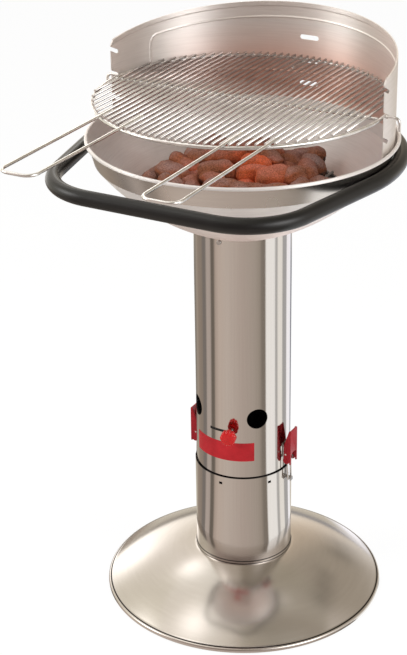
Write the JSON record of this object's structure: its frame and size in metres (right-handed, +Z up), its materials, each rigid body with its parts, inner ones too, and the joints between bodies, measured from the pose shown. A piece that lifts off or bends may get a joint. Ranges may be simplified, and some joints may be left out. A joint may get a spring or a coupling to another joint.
{
  "type": "charcoal grill",
  "caption": "Pedestal charcoal grill: a steel bowl with windscreen, cooking grid and black handle bar on a chimney column with an air regulator, a latched ash pot and a round foot.",
  "frame": {"origin": "Middle of the foot on the floor, on the column's axis.", "axes": "+Z up along the column, -Y to the front where the grid's handles reach, +X to the right seen from the front."},
  "size_m": [0.5278, 0.711, 0.977],
  "materials": {
    "stainless_polished": "polished stainless sheet with faint drawing lines",
    "stainless_brushed": "stainless sheet with a brushed grain",
    "chrome_wire": "bright chromed wire",
    "zinc_fasteners": "plain steel fasteners and small stampings",
    "damper_steel": "plain steel ring, dull inside the column",
    "grate_steel": "steel wire, darkened by heat",
    "red_plastic": "glossy red moulding",
    "black_bar": "satin black coating",
    "charcoal": "glowing charcoal with an ash bloom"
  },
  "bodies": {
    "base": {"base_foot": "stainless_polished", "foot_bolts": "zinc_fasteners", "foot_nuts": "zinc_fasteners", "ash_pot": "stainless_polished", "pot_catch_right": "zinc_fasteners", "pot_catch_left": "zinc_fasteners", "column_tube": "stainless_polished", "bowl": "stainless_brushed", "neck_screws": "zinc_fasteners", "neck_nuts": "zinc_fasteners", "handle_bar": "black_bar", "handle_caps": "black_bar", "handle_bolts": "zinc_fasteners", "latch_bracket_right": "zinc_fasteners", "latch_bracket_left": "zinc_fasteners", "latch_rivets": "zinc_fasteners", "latch_pins": "zinc_fasteners"},
    "damper": {"damper_ring": "damper_steel", "damper_stem": "zinc_fasteners", "damper_knob": "red_plastic"},
    "latch_right": {"latch_lever_right": "red_plastic"},
    "bail_right": {"latch_bail_right": "chrome_wire"},
    "latch_left": {"latch_lever_left": "red_plastic"},
    "bail_left": {"latch_bail_left": "chrome_wire"},
    "windscreen": {"windscreen": "stainless_brushed"},
    "cooking_grid": {"grid_rim": "chrome_wire", "grid_bars": "chrome_wire", "grid_cross_wire": "chrome_wire", "grid_side_hooks": "chrome_wire", "grid_rear_tab": "chrome_wire", "grid_handle_right": "chrome_wire", "grid_handle_left": "chrome_wire"},
    "coal_bed": {"coal_grate_rim": "grate_steel", "coal_grate_bars": "grate_steel", "charcoal_lumps": "charcoal"}
  },
  "joints": [
    {"name": "air_regulator", "type": "hinge", "parent": "base", "child": "damper", "pos_m": [0, 0, 0.33], "axis": [0, 0, 1], "range_deg": [-27, 0]},
    {"name": "latch_right_open", "type": "hinge", "parent": "base", "child": "latch_right", "pos_m": [0.088, 0, 0.2605], "axis": [0, 1, 0], "range_deg": [0, 75]},
    {"name": "bail_right_swing", "type": "hinge", "parent": "latch_right", "child": "bail_right", "pos_m": [0.08695, 0, 0.27245], "axis": [0, 1, 0], "range_deg": [-58.5, 0]},
    {"name": "latch_left_open", "type": "hinge", "parent": "base", "child": "latch_left", "pos_m": [-0.088, 0, 0.2605], "axis": [0, -1, 0], "range_deg": [0, 75]},
    {"name": "bail_left_swing", "type": "hinge", "parent": "latch_left", "child": "bail_left", "pos_m": [-0.08695, 0, 0.27245], "axis": [0, -1, 0], "range_deg": [-58.5, 0]},
    {"name": "windscreen_lift", "type": "slide", "parent": "base", "child": "windscreen", "axis": [0, 0, 1], "range_m": [0, 0.15]},
    {"name": "grid_pull", "type": "slide", "parent": "windscreen", "child": "cooking_grid", "axis": [0, -0.8988, 0.4384], "range_m": [0, 0.12]},
    {"name": "coal_grate_lift", "type": "slide", "parent": "base", "child": "coal_bed", "axis": [0, 0, 1], "range_m": [0, 0.06]}
  ],
  "couplings": [
    {"joint": "bail_right_swing", "follows": "latch_right_open", "ratio": -0.78},
    {"joint": "bail_left_swing", "follows": "latch_left_open", "ratio": -0.78}
  ]
}
